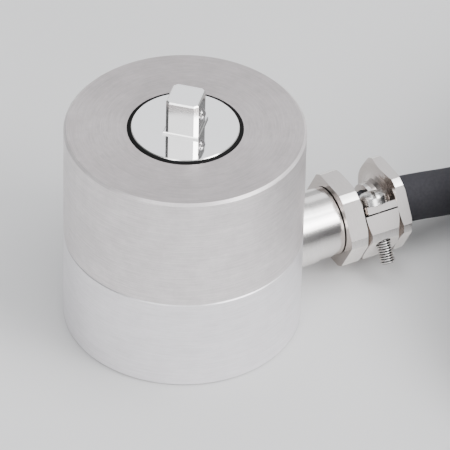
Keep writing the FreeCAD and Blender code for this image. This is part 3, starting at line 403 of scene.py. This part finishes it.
def nickel_plate(name, flat, under_painted_light, cut_painted_reflection, turned, rough, depth):
    """Nickel plated nuts with dull milled flats and bright turned faces.

    under_painted_light is the colour of the flats that look down, a painted reflection
    of the lit floor; cut_painted_reflection that of the chamfers, grooves and ends, darker
    and warmer as a painted reflection of darker things; turned that of the cylinders.
    """
    material, tree, shader = new_material(name)
    radius, height, angle = polar_coordinates(tree, GLAND_AXIS, "X")
    lines = turning_lines(tree, radius, height, angle, NUT_LINES)
    grain = noise_texture(tree, object_coordinates(tree), MILLED_GRAIN, detail=3)
    sloping = ramp(tree, steepness(tree, "X"), *SLOPING_RANGE, 0, 1)
    upward = ramp(tree, object_normal(tree, "Z"), *UNDER_RANGE, 0, 1)

    soft, sharp = 0.05 * MM, 0.01 * MM
    level = ramp(tree, sloping, 0, 1, 1, 0)
    outside = ramp(tree, radius, MILLED_FROM - soft, MILLED_FROM + soft, 0, 1)
    inside = ramp(tree, radius, MILLED_TO - sharp, MILLED_TO + sharp, 1, 0)
    milled = combine(tree, "MULTIPLY", combine(tree, "MULTIPLY", level, outside), inside)

    # Painted light: the flats that look down are lighter, for the lit floor that they mirror.
    # Painted reflection: the sloping faces are darker and warmer, for the darker things that
    # they mirror.
    colour = mixed(tree, milled, mixed(tree, sloping, turned, cut_painted_reflection),
                   mixed(tree, upward, under_painted_light, flat))
    streaks = ramp(tree, lines, *LINES_RANGE, STREAKS, 0)
    colour = shaded(tree, colour, streaks, STREAK_TONE)
    tree.links.new(colour, shader.inputs["Base Color"])
    tree.links.new(ramp(tree, milled, 0, 1, 1.0, MILLED_METAL), shader.inputs["Metallic"])
    tree.links.new(ramp(tree, milled, 0, 1, rough, MILLED_ROUGH), shader.inputs["Roughness"])
    skin = combine(tree, "MULTIPLY", grain, ramp(tree, milled, 0, 1, TURNED_GRAIN, 1))
    bump(tree, shader, skin, depth)
    return material


def speckled(name, light, dark, rough, scale, depth, metal=0.0, coat=0.0, specular=0.5):
    """Moulded, drawn or plated surface with a fine irregular skin."""
    rough_spread = 0.05
    material, tree, shader = new_material(name)
    noise = noise_texture(tree, object_coordinates(tree), scale, detail=4)
    colour = mixed(tree, ramp(tree, noise, *SPECKLE_RANGE, 0, 1), dark, light)
    tree.links.new(colour, shader.inputs["Base Color"])
    level = ramp(tree, noise, *LINES_RANGE, rough - rough_spread, rough + rough_spread)
    tree.links.new(level, shader.inputs["Roughness"])
    shader.inputs["Metallic"].default_value = metal
    shader.inputs["Coat Weight"].default_value = coat
    shader.inputs["Specular IOR Level"].default_value = specular
    bump(tree, shader, noise, depth)
    return material


def core_skin(name, light, dark):
    """Insulation of a thin wire."""
    return speckled(name, light, dark, rough=0.4, scale=2500, depth=3e-6)


def darken_thread(material):
    """Painted shade in the grooves of the clamp screw's thread and on its shank in the slot."""
    edge = 0.1 * MM
    tree = material.node_tree
    shader = tree.nodes["Principled BSDF"]
    along = Vector((0, math.cos(CLAMP_TILT), math.sin(CLAMP_TILT)))
    out = Vector((0, -math.sin(CLAMP_TILT), math.cos(CLAMP_TILT)))
    middle = Vector((CLAMP_ALONG, 0, GLAND_HEIGHT * MM)) + out * CLAMP_OFFSET
    offset = offset_from(tree, middle)
    cross = node(tree, "ShaderNodeVectorMath", operation="CROSS_PRODUCT")
    tree.links.new(offset, cross.inputs[0])
    cross.inputs[1].default_value = along
    radius = node(tree, "ShaderNodeVectorMath", operation="LENGTH")
    tree.links.new(cross.outputs[0], radius.inputs[0])
    dot = node(tree, "ShaderNodeVectorMath", operation="DOT_PRODUCT")
    tree.links.new(offset, dot.inputs[0])
    dot.inputs[1].default_value = along
    level = dot.outputs["Value"]
    below_head = ramp(tree, level, HEAD_UNDERSIDE, HEAD_UNDERSIDE + edge, 1, 0)
    depth = ramp(tree, radius.outputs["Value"], THREAD_ROOT, THREAD_CREST, 1, 0)
    in_slot = ramp(tree, level, SLOT_START, SLOT_START + edge, 0, 1)
    amount = combine(tree, "MULTIPLY", below_head, combine(tree, "MAXIMUM", depth, in_slot))
    plain = shader.inputs["Base Color"].links[0].from_socket
    tree.links.new(shaded(tree, plain, amount, THREAD_SHADE),
                   shader.inputs["Base Color"])


# Materials of the pieces

cover_steel = turned_metal(
    "cover_steel", light=(0.87, 0.825, 0.83), dark=(0.69, 0.655, 0.66), rough=0.36,
    spread=0.05, depth=4.0e-7, grain=4500, metal=0.50, tangent=0.6,
    top_tone=(0.64, 0.625, 0.625), mottle=0.8)
base_aluminium = turned_metal(
    "base_aluminium", light=(0.985, 0.96, 0.99), dark=(0.85, 0.83, 0.855), rough=0.32,
    spread=0.04, depth=4.0e-7, grain=4500, metal=0.6, tangent=0.6, mottle=0.35)
# The warm tone of the drive's sides is a painted reflection.
drive_steel = turned_metal(
    "drive_steel", light=(0.93, 0.93, 0.94), dark=(0.88, 0.88, 0.89), rough=0.06,
    spread=0.02, depth=5.0e-8, grain=4000, side_rough=0.12, side_tone=(1.0, 0.985, 0.95))
# The nuts' light colour for the flats that look down is a painted reflection of the floor, and
# the darker, warmer colour of the chamfers, grooves and ends is a painted dark reflection.
gland_nickel = nickel_plate(
    "gland_nickel", flat=(0.59, 0.56, 0.55), under_painted_light=(0.96, 0.92, 0.89),
    cut_painted_reflection=(0.56, 0.51, 0.48), turned=(0.97, 0.94, 0.92), rough=0.20, depth=3.0e-6)
chrome = speckled(
    "chrome_plate", light=(0.42, 0.41, 0.41), dark=(0.37, 0.36, 0.36), rough=0.08,
    scale=2000, depth=1e-7, metal=1.0)
dull_steel = speckled(
    "dull_steel", light=(0.42, 0.42, 0.43), dark=(0.30, 0.30, 0.31), rough=0.38,
    scale=3000, depth=1e-6, metal=1.0)
screw_plate = speckled(
    "screw_plate", light=(0.80, 0.79, 0.78), dark=(0.68, 0.67, 0.66), rough=0.25,
    scale=2000, depth=1e-7, metal=1.0)
darken_thread(screw_plate)
tinned = speckled(
    "tinned_ferrule", light=(0.70, 0.70, 0.68), dark=(0.56, 0.56, 0.55), rough=0.28,
    scale=2500, depth=1e-6, metal=1.0)
black_rubber = speckled(
    "black_rubber", light=(0.006, 0.006, 0.006), dark=(0.003, 0.003, 0.003), rough=0.70,
    scale=2500, depth=2e-6, specular=0.15)
cable_skin = speckled(
    "cable_skin", light=(0.050, 0.049, 0.055), dark=(0.041, 0.040, 0.046), rough=0.80,
    scale=1800, depth=6e-6, specular=0.15)
sleeve_skin = speckled(
    "sleeve_skin", light=(0.022, 0.022, 0.023), dark=(0.014, 0.014, 0.015), rough=0.5,
    scale=1200, depth=1e-5)
tie_nylon = speckled(
    "tie_nylon", light=(0.020, 0.020, 0.021), dark=(0.014, 0.014, 0.014), rough=0.34,
    scale=900, depth=3e-6)
gauge_film = speckled(
    "gauge_film", light=(0.66, 0.36, 0.10), dark=(0.50, 0.26, 0.07), rough=0.3,
    scale=900, depth=1e-6)
laminate = speckled(
    "board_laminate", light=(0.03, 0.20, 0.08), dark=(0.02, 0.15, 0.06), rough=0.3,
    scale=700, depth=2e-6, coat=0.4)
resistor = speckled(
    "resistor_body", light=(0.04, 0.04, 0.04), dark=(0.02, 0.02, 0.02), rough=0.4,
    scale=3000, depth=2e-6)
red_core = core_skin("red_core", (0.55, 0.03, 0.02), (0.42, 0.02, 0.015))
white_core = core_skin("white_core", (0.72, 0.71, 0.68), (0.62, 0.61, 0.58))
black_core = core_skin("black_core", (0.03, 0.03, 0.03), (0.02, 0.02, 0.02))
green_core = core_skin("green_core", (0.03, 0.28, 0.07), (0.02, 0.20, 0.05))

# The material of each solid.
DRESS = {
    "base_flange": base_aluminium, "housing_cover": cover_steel,
    "torsion_shaft": drive_steel, "detent_ball": chrome, "detent_spring": dull_steel,
    "hub_seal": black_rubber, "cover_ring": black_rubber, "neck_ring": black_rubber,
    "shaft_screws": dull_steel, "locating_pins": dull_steel,
    "strain_gauges": gauge_film, "gauge_leads": white_core, "circuit_board": laminate,
    "board_screws": dull_steel, "board_parts": resistor, "gland_neck": gland_nickel,
    "gland_gasket": black_rubber, "gland_body": gland_nickel, "cable_seal": black_rubber,
    "thrust_ring": gland_nickel, "clamp_nut": gland_nickel, "clamp_screw": screw_plate,
    "cable_cores": white_core, "gland_cable": cable_skin, "cable_coil": cable_skin,
    "signal_cable": cable_skin, "cable_tail": cable_skin, "coil_ties": tie_nylon,
    "end_boot": sleeve_skin, "lead_red": red_core, "lead_white": white_core,
    "lead_black": black_core, "lead_green": green_core, "lead_ferrules": tinned,
}

# Fine pieces

# Lengths in millimetres. The lip of the seal is sunk into
# the disc and the cover, and the bevel into the collar, so that no gap shows.
TOP = 44.5
DISC_TOP = 44.9
OPENING_RADIUS = 11.05
SEAL_WIDTH = 0.7
LIP_INNER = OPENING_RADIUS - SEAL_WIDTH - 0.02
LIP_OUTER = OPENING_RADIUS + 0.03
LIP_ROOT = TOP - 0.1
LIP_TIP = DISC_TOP - 0.12
LIP_STEPS = 180
COLLAR_TOP = DISC_TOP + 0.35
COLLAR_HALF = 3.495
COLLAR_SLOPE = 0.17
COLLAR_SUNK = 0.02
DRIVE_TURN = math.radians(-43.0)


def seal_lip(material):
    """Lip of the hub's seal, from the cover's edge up the side of the disc."""
    profile = ((LIP_INNER, LIP_ROOT), (LIP_INNER, LIP_TIP),
               (LIP_INNER + 0.10, LIP_TIP - 0.02), (LIP_INNER + 0.30, LIP_TIP - 0.10),
               (LIP_OUTER - 0.15, TOP + 0.06), (LIP_OUTER, TOP + 0.01),
               (LIP_OUTER, LIP_ROOT))
    bm = bmesh.new()
    rings = []
    for k in range(LIP_STEPS):
        a = 2 * math.pi * k / LIP_STEPS
        rings.append([bm.verts.new((r * math.cos(a) * MM, r * math.sin(a) * MM, z * MM))
                      for r, z in profile])
    for here, there in zip(rings, rings[1:] + rings[:1]):
        for j in range(len(profile)):
            i = (j + 1) % len(profile)
            bm.faces.new((here[j], there[j], there[i], here[i]))
    bmesh.ops.recalc_face_normals(bm, faces=bm.faces)
    mesh_piece("seal_lip", bm, material)


def collar_bevel(material):
    """Bevel round the drive's collar, sloping up to the drive's faces."""
    bm = bmesh.new()
    turn = Matrix.Rotation(DRIVE_TURN, 3, "Z")
    levels = []
    for half, z in ((COLLAR_HALF, COLLAR_TOP - COLLAR_SUNK), (COLLAR_HALF, COLLAR_TOP),
                    (COLLAR_HALF - COLLAR_SLOPE, COLLAR_TOP + COLLAR_SLOPE)):
        levels.append([bm.verts.new(turn @ Vector((x * half, y * half, z)) * MM)
                       for x, y in ((1, 1), (-1, 1), (-1, -1), (1, -1))])
    for low, high in zip(levels, levels[1:]):
        for k in range(4):
            bm.faces.new((low[k], low[(k + 1) % 4], high[(k + 1) % 4], high[k]))
    bm.faces.new(levels[-1])
    bm.faces.new(levels[0][::-1])
    bmesh.ops.recalc_face_normals(bm, faces=bm.faces)
    mesh_piece("collar_bevel", bm, material, smooth=False)


def detent_wire():
    """The detent's spring as a piece of its own, in place of the solid."""
    rest = nodes["detent_spring"]
    data = rest.data.copy()
    data.transform(rest.matrix_world)
    piece = link("detent_wire", data)
    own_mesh(piece)
    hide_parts("detent_spring")


# Stage and light

FLOOR_SIZE = 6
FLOOR_LEVEL = -0.05 * MM
FLOOR_GREY = (0.74, 0.74, 0.74)
FLOOR_ROUGH = 0.9
# Flags and windows of the studio: azimuth in the camera's frame, elevation, half
# width, and the share of light that a flag leaves or that a window adds.
FLAGS = ((62, 39.5, 10, 0.38), (152, 39.5, 8, 0.25), (-172, 33, 20, 0.40),
         (-175, 15, 48, 0.66), (-39, 15, 10, 0.60), (65, 62, 8, 0.35))
WINDOWS = ((-28, 44, 10, 6.0), (-16, 58, 10, 4.0), (95, 76, 16, 3.0),
           (-120, 54, 9, 5.0), (90, 40, 11, 1.0), (-118, 38, 9, 1.9), (6, 66, 10, 4.0))
# Their soft edge, from and to these shares of the half width.
EDGE_INNER = 0.75
EDGE_OUTER = 1.35
# The sky's strength at the horizon and from SKY_REACH upwards, as a direction's height.
SKY_LOW = 0.58
SKY_HIGH = 0.75
SKY_REACH = 0.8
SKY_COLOUR = (0.97, 0.98, 1.0)
# Softboxes: name, place in the camera's frame, width and height, power and colour.
SOFTBOXES = (
    ("softbox_right", (0.9, -0.6, 0.8), (0.7, 0.5), 7.5, (1, 0.99, 0.98)),
    ("overhead", (0.1, -0.1, 1.1), (0.9, 0.9), 1.0, (1, 1, 1)),
    ("fill_front", (0.35, -1.1, 0.35), (0.6, 0.6), 6.0, (1, 1, 1)),
)
LIGHT_AIM = Vector((0, 0, 0.03))


def make_stage():
    bm = bmesh.new()
    bmesh.ops.create_grid(bm, x_segments=2, y_segments=2, size=FLOOR_SIZE)
    data = bpy.data.meshes.new("floor")
    bm.to_mesh(data)
    bm.free()
    floor = bpy.data.objects.new("floor", data)
    bpy.context.collection.objects.link(floor)
    floor.location.z = FLOOR_LEVEL
    material, _, shader = new_material("floor_paper")
    shader.inputs["Base Color"].default_value = (*FLOOR_GREY, 1)
    shader.inputs["Roughness"].default_value = FLOOR_ROUGH
    data.materials.append(material)


def area_light(name, place, size, power, colour):
    data = bpy.data.lights.new(name, "AREA")
    data.energy = power
    data.color = colour
    data.shape = "RECTANGLE"
    data.size, data.size_y = size
    lamp = bpy.data.objects.new(name, data)
    bpy.context.collection.objects.link(lamp)
    lamp.location = FROM_VIEW @ Vector(place)
    ray = FROM_VIEW @ LIGHT_AIM - lamp.location
    lamp.rotation_euler = ray.to_track_quat("-Z", "Y").to_euler()


def sky_patch(tree, direction, azimuth, elevation, half_width, inside, outside):
    """A soft round patch of the sky, as a factor."""
    a, e = math.radians(azimuth), math.radians(elevation)
    spot = Vector((math.cos(a) * math.cos(e), math.sin(a) * math.cos(e), math.sin(e)))
    dot = node(tree, "ShaderNodeVectorMath", operation="DOT_PRODUCT")
    tree.links.new(direction, dot.inputs[0])
    dot.inputs[1].default_value = FROM_VIEW @ spot
    mapped = node(tree, "ShaderNodeMapRange", interpolation_type="SMOOTHSTEP")
    tree.links.new(dot.outputs["Value"], mapped.inputs["Value"])
    mapped.inputs["From Min"].default_value = math.cos(math.radians(half_width * EDGE_OUTER))
    mapped.inputs["From Max"].default_value = math.cos(math.radians(half_width * EDGE_INNER))
    mapped.inputs["To Min"].default_value = outside
    mapped.inputs["To Max"].default_value = inside
    return mapped.outputs["Result"]


def make_light():
    """Soft studio: a pale sky with bright windows and dark flags, and softboxes."""
    world = bpy.data.worlds.new("studio")
    bpy.context.scene.world = world
    world.use_nodes = True
    tree = world.node_tree
    back = tree.nodes["Background"]
    direction = node(tree, "ShaderNodeTexCoord").outputs["Generated"]
    parts = node(tree, "ShaderNodeSeparateXYZ")
    tree.links.new(direction, parts.inputs[0])
    level = ramp(tree, parts.outputs["Z"], 0.0, SKY_REACH, SKY_LOW, SKY_HIGH)
    for azimuth, elevation, half_width, power in WINDOWS:
        glow = sky_patch(tree, direction, azimuth, elevation, half_width, power, 0.0)
        level = combine(tree, "ADD", level, glow)
    for azimuth, elevation, half_width, share in FLAGS:
        shade = sky_patch(tree, direction, azimuth, elevation, half_width, share, 1.0)
        level = combine(tree, "MULTIPLY", level, shade)
    back.inputs["Color"].default_value = (*SKY_COLOUR, 1)
    tree.links.new(level, back.inputs["Strength"])
    for box in SOFTBOXES:
        area_light(*box)


make_camera()
for name, material in DRESS.items():
    dress(name, material)
seal_lip(black_rubber)
collar_bevel(drive_steel)
detent_wire()
make_cable(cable_skin)
make_stage()
make_light()
